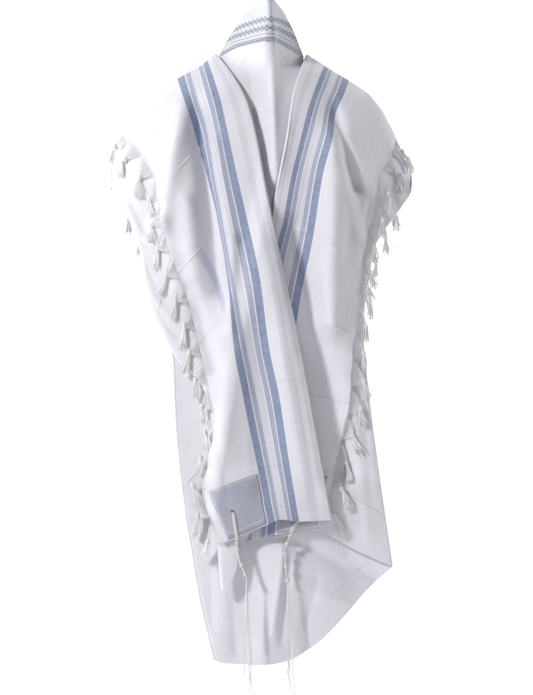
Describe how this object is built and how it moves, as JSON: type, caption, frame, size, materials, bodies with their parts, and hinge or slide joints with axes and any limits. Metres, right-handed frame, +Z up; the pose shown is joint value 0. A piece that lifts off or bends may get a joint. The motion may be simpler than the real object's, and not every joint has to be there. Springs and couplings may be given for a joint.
{
  "type": "prayer shawl",
  "caption": "Large striped prayer shawl worn over both shoulders, its two fringed ends thrown back and hanging crossed down the back.",
  "frame": {"origin": "the middle of the wearer's shoulder line, at the base of the neck, where the cloth rests", "axes": "+Z up, +Y the way the wearer faces, +X to the wearer's right"},
  "size_m": [0.6237, 0.3462, 1.433],
  "materials": {
    "cloth": "fine white weave with pale blue woven stripes",
    "neckband": "smooth woven band with silver-blue ornament",
    "corner_satin": "soft lavender-grey satin",
    "fringe_thread": "matte knotted yarn",
    "tassel_cord": "matte twisted cord"
  },
  "bodies": {
    "root": {"back_panel": "cloth", "left_side_pleat": "cloth", "left_wing": "cloth", "left_turn": "cloth", "right_wing": "cloth", "right_turn": "cloth", "neckband": "neckband", "left_back_corner_patch": "corner_satin", "left_front_corner_patch": "corner_satin", "right_back_corner_patch": "corner_satin", "right_front_corner_patch": "corner_satin", "left_fringe": "fringe_thread", "right_fringe": "fringe_thread", "left_back_corner_tassel": "tassel_cord", "left_front_corner_tassel": "tassel_cord", "right_back_corner_tassel": "tassel_cord", "right_front_corner_tassel": "tassel_cord"}
  },
  "joints": []
}
